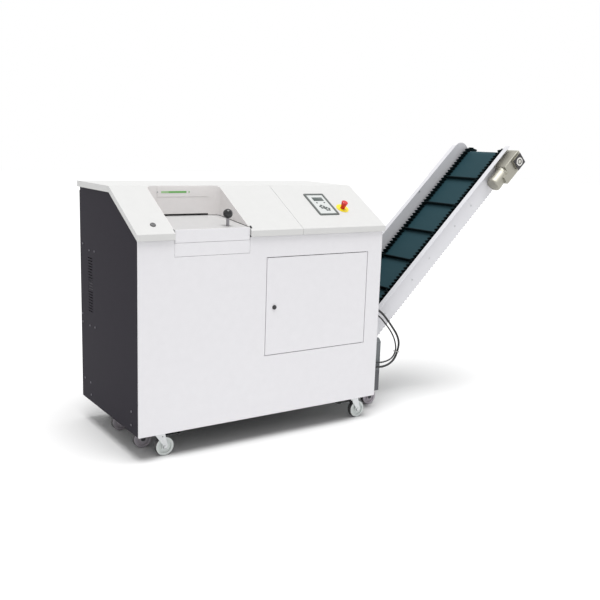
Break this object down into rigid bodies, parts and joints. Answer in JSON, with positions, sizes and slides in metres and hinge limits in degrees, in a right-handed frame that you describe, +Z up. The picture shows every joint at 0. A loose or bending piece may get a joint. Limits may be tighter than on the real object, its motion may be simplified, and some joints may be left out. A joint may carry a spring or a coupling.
{
  "type": "multimedia shredder with discharge conveyor",
  "caption": "Cabinet shredder on casters with a drawer-fed cutting unit and an inclined belt conveyor on its own trolley.",
  "frame": {"origin": "on the floor, under the middle of the whole machine's box", "axes": "+X along the machine to the conveyor's discharge end, +Y from the front to the back, +Z up"},
  "size_m": [2.7834, 0.8296, 1.6392],
  "materials": {
    "white_sheet": "fine powder coat",
    "hood_sheet": "fine powder coat",
    "dark_sheet": "satin powder coat",
    "frame_paint": "satin",
    "zinc": "zinc plated",
    "plate_paint": "satin",
    "cutter_steel": "hardened and ground",
    "belt": "matt",
    "drum_steel": "turned",
    "cast_grey": "painted casting",
    "drive_paint": "painted casting",
    "wheel": "matt",
    "black_plastic": "matt",
    "black_gloss": "polished",
    "red_plastic": "polished",
    "yellow_plastic": "matt",
    "light_bar": "tinted, lit",
    "box_paint": "satin",
    "cable_black": "matt",
    "keypad": "membrane film",
    "gland": "matt"
  },
  "bodies": {
    "cabinet": {"base_frame": "frame_paint", "front_panel": "white_sheet", "front_strip": "white_sheet", "left_panel": "dark_sheet", "right_panel": "dark_sheet", "rear_panel": "dark_sheet", "hood_control": "hood_sheet", "hood_hinges": "zinc", "drawer_table": "zinc", "feed_hopper": "zinc", "cutter_frame": "cast_grey", "stripper_combs": "zinc", "drive_gearbox": "cast_grey", "drive_motor": "drive_paint", "discharge_chute": "zinc", "conveyor_side_near": "plate_paint", "conveyor_side_far": "plate_paint", "conveyor_belt": "belt", "slider_bed": "zinc", "conveyor_bearings": "cast_grey", "conveyor_gearmotor": "drive_paint", "trolley_frame": "frame_paint", "terminal_box": "box_paint", "cable_glands": "gland", "power_cable": "cable_black", "sensor_cable": "cable_black", "panel_bezel": "black_plastic", "keypad": "keypad", "estop_plate": "yellow_plastic", "caster_plates": "zinc"},
    "hood": {"hood_main": "hood_sheet", "recess_liner": "white_sheet", "led_bar": "light_bar"},
    "hood_lock": {"hood_lock": "black_plastic"},
    "feed_drawer": {"feed_drawer": "white_sheet", "knob_stem": "zinc", "ball_knob": "black_gloss"},
    "cutter_front": {"cutter_shaft_front": "cutter_steel", "sync_gear_front": "cutter_steel", "drive_coupling": "cast_grey"},
    "cutter_rear": {"cutter_shaft_rear": "cutter_steel", "sync_gear_rear": "cutter_steel"},
    "head_drum": {"head_drum": "drum_steel"},
    "tail_drum": {"tail_drum": "drum_steel"},
    "bend_roller": {"bend_roller": "drum_steel"},
    "service_door": {"service_door": "white_sheet"},
    "door_latch": {"door_latch": "black_plastic"},
    "estop_button": {"estop_button": "red_plastic"},
    "trolley_wheels_left": {"trolley_wheels_left": "wheel"},
    "trolley_wheels_right": {"trolley_wheels_right": "wheel"},
    "caster_fork_front_left": {"caster_fork_front_left": "zinc"},
    "caster_wheel_front_left": {"caster_wheel_front_left": "wheel"},
    "caster_fork_front_right": {"caster_fork_front_right": "zinc"},
    "caster_wheel_front_right": {"caster_wheel_front_right": "wheel"},
    "caster_fork_rear_left": {"caster_fork_rear_left": "zinc"},
    "caster_wheel_rear_left": {"caster_wheel_rear_left": "wheel"},
    "caster_fork_rear_right": {"caster_fork_rear_right": "zinc"},
    "caster_wheel_rear_right": {"caster_wheel_rear_right": "wheel"},
    "brake_pedal_front_left": {"brake_pedal_front_left": "black_plastic"},
    "brake_pedal_front_right": {"brake_pedal_front_right": "black_plastic"}
  },
  "joints": [
    {"name": "hood_hinge", "type": "hinge", "parent": "cabinet", "child": "hood", "pos_m": [-0.91276, 0.40925, 1.323], "axis": [-1, 0, 0], "range_deg": [0, 50]},
    {"name": "hood_lock_turn", "type": "hinge", "parent": "hood", "child": "hood_lock", "pos_m": [-1.28276, -0.34975, 1.19142], "axis": [0, 0.499, -0.8666], "range_deg": [0, 90]},
    {"name": "drawer_slide", "type": "slide", "parent": "cabinet", "child": "feed_drawer", "axis": [0, -0.9956, -0.0941], "range_m": [0, 0.26]},
    {"name": "cutter_front_spin", "type": "hinge", "parent": "cabinet", "child": "cutter_front", "pos_m": [-0.98276, 0.01775, 0.938], "axis": [1, 0, 0], "continuous": true},
    {"name": "cutter_rear_spin", "type": "hinge", "parent": "cabinet", "child": "cutter_rear", "pos_m": [-0.98276, 0.13775, 0.938], "axis": [1, 0, 0], "continuous": true},
    {"name": "head_drum_spin", "type": "hinge", "parent": "cabinet", "child": "head_drum", "pos_m": [1.31176, -0.03225, 1.52886], "axis": [0, 1, 0], "continuous": true},
    {"name": "tail_drum_spin", "type": "hinge", "parent": "cabinet", "child": "tail_drum", "pos_m": [-1.23276, -0.03225, 0.25], "axis": [0, 1, 0], "continuous": true},
    {"name": "bend_roller_spin", "type": "hinge", "parent": "cabinet", "child": "bend_roller", "pos_m": [-0.0071, -0.03225, 0.24342], "axis": [0, 1, 0], "continuous": true},
    {"name": "door_hinge", "type": "hinge", "parent": "cabinet", "child": "service_door", "pos_m": [0.00874, -0.39775, 0.741], "axis": [0, 0, 1], "range_deg": [0, 110]},
    {"name": "door_latch_turn", "type": "hinge", "parent": "service_door", "child": "door_latch", "pos_m": [-0.60776, -0.40225, 0.737], "axis": [0, -1, 0], "range_deg": [0, 90]},
    {"name": "estop_push", "type": "slide", "parent": "cabinet", "child": "estop_button", "axis": [0, 0.499, -0.8666], "range_m": [0, 0.006], "stiffness_N_per_m": 2000},
    {"name": "trolley_wheels_left_spin", "type": "hinge", "parent": "cabinet", "child": "trolley_wheels_left", "pos_m": [-1.27276, -0.03225, 0.05], "axis": [0, 1, 0], "continuous": true},
    {"name": "trolley_wheels_right_spin", "type": "hinge", "parent": "cabinet", "child": "trolley_wheels_right", "pos_m": [0.25024, -0.03225, 0.05], "axis": [0, 1, 0], "continuous": true},
    {"name": "caster_swivel_front_left", "type": "hinge", "parent": "cabinet", "child": "caster_fork_front_left", "pos_m": [-1.24776, -0.33625, 0.1215], "axis": [0, 0, 1], "continuous": true},
    {"name": "caster_spin_front_left", "type": "hinge", "parent": "caster_fork_front_left", "child": "caster_wheel_front_left", "pos_m": [-1.21776, -0.33625, 0.05], "axis": [0, 1, 0], "continuous": true},
    {"name": "caster_swivel_front_right", "type": "hinge", "parent": "cabinet", "child": "caster_fork_front_right", "pos_m": [0.00424, -0.33625, 0.1215], "axis": [0, 0, 1], "continuous": true},
    {"name": "caster_spin_front_right", "type": "hinge", "parent": "caster_fork_front_right", "child": "caster_wheel_front_right", "pos_m": [0.03424, -0.33625, 0.05], "axis": [0, 1, 0], "continuous": true},
    {"name": "caster_swivel_rear_left", "type": "hinge", "parent": "cabinet", "child": "caster_fork_rear_left", "pos_m": [-1.24776, 0.34275, 0.1215], "axis": [0, 0, 1], "continuous": true},
    {"name": "caster_spin_rear_left", "type": "hinge", "parent": "caster_fork_rear_left", "child": "caster_wheel_rear_left", "pos_m": [-1.21776, 0.34275, 0.05], "axis": [0, 1, 0], "continuous": true},
    {"name": "caster_swivel_rear_right", "type": "hinge", "parent": "cabinet", "child": "caster_fork_rear_right", "pos_m": [0.00424, 0.34275, 0.1215], "axis": [0, 0, 1], "continuous": true},
    {"name": "caster_spin_rear_right", "type": "hinge", "parent": "caster_fork_rear_right", "child": "caster_wheel_rear_right", "pos_m": [0.03424, 0.34275, 0.05], "axis": [0, 1, 0], "continuous": true},
    {"name": "brake_front_left", "type": "hinge", "parent": "caster_fork_front_left", "child": "brake_pedal_front_left", "pos_m": [-1.23376, -0.33625, 0.107], "axis": [0, 1, 0], "range_deg": [0, 10]},
    {"name": "brake_front_right", "type": "hinge", "parent": "caster_fork_front_right", "child": "brake_pedal_front_right", "pos_m": [-0.00976, -0.33625, 0.107], "axis": [0, -1, 0], "range_deg": [0, 10]}
  ],
  "couplings": [
    {"joint": "cutter_rear_spin", "follows": "cutter_front_spin", "ratio": -1},
    {"joint": "tail_drum_spin", "follows": "head_drum_spin", "ratio": 1},
    {"joint": "bend_roller_spin", "follows": "head_drum_spin", "ratio": 1.6667}
  ]
}
